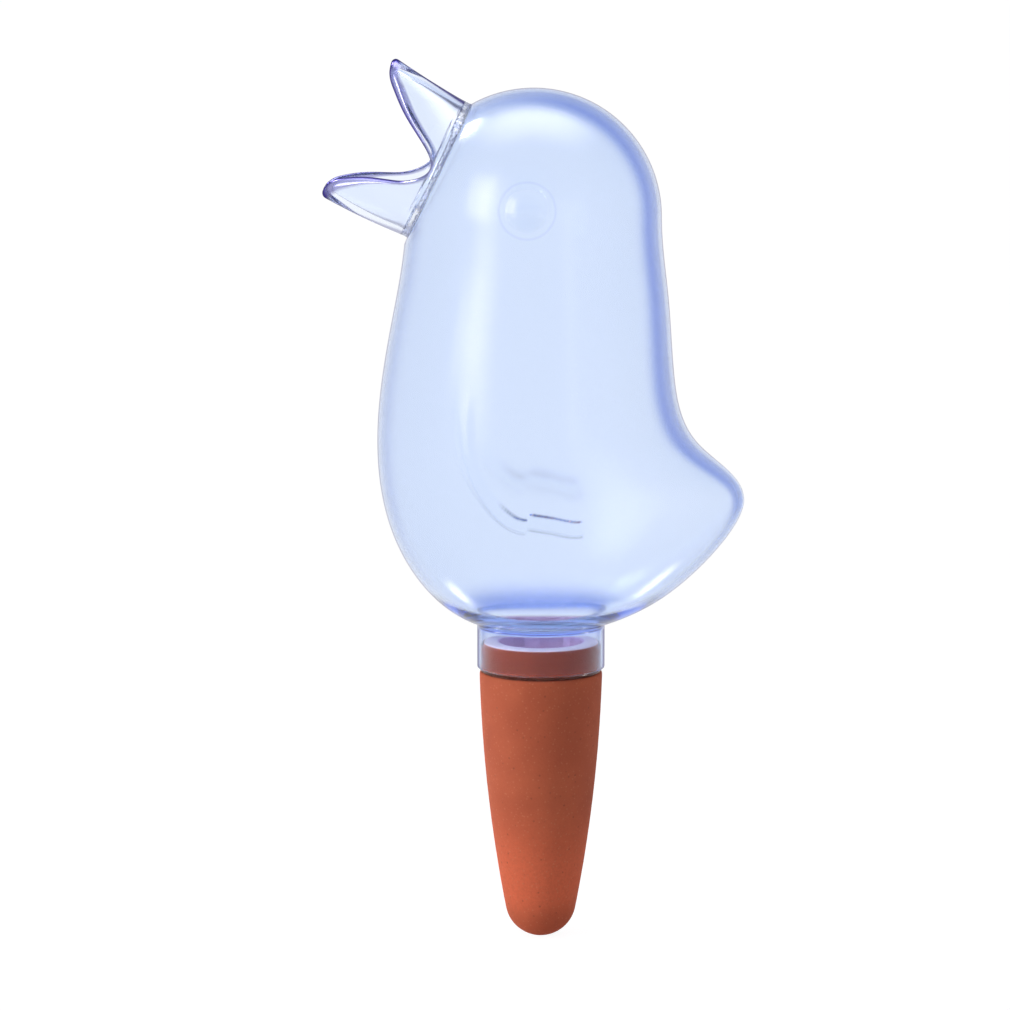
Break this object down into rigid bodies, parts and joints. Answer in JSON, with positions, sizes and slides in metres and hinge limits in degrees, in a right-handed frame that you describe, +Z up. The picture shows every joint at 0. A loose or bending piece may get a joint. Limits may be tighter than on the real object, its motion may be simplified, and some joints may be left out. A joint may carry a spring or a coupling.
{
  "type": "bird-shaped plant watering globe",
  "caption": "See-through bird-shaped water reservoir with an open beak for filling, pushed by its neck sleeve onto a hollow unglazed clay spike that stands in the soil.",
  "frame": {"origin": "on the spike's axis at the clay shoulder, which is the soil line in use", "axes": "+Z up the spike's axis, +X from the beak towards the tail, +Y to the bird's left flank completing a right-handed frame"},
  "size_m": [0.1052, 0.0704, 0.2216],
  "materials": {
    "shell_plastic": "clear light-blue blown plastic, glossy",
    "beak_plastic": "clear, faintly blue moulded plastic, glossy",
    "clear_adhesive": "cured clear adhesive, grainy",
    "terracotta": "unglazed, matt, fine-grained",
    "silicone": "soft, clear, satin"
  },
  "bodies": {
    "spike": {"clay_spike": "terracotta"},
    "seal": {"spike_seal": "silicone"},
    "bird": {"bird_shell": "shell_plastic", "beak_funnel": "beak_plastic", "beak_bond": "clear_adhesive"}
  },
  "joints": [
    {"name": "bird_turn", "type": "hinge", "parent": "spike", "child": "seal", "pos_m": [0, 0, 0], "axis": [0, 0, 1], "continuous": true},
    {"name": "bird_lift", "type": "slide", "parent": "seal", "child": "bird", "axis": [0, 0, 1], "range_m": [0, 0.025]}
  ]
}
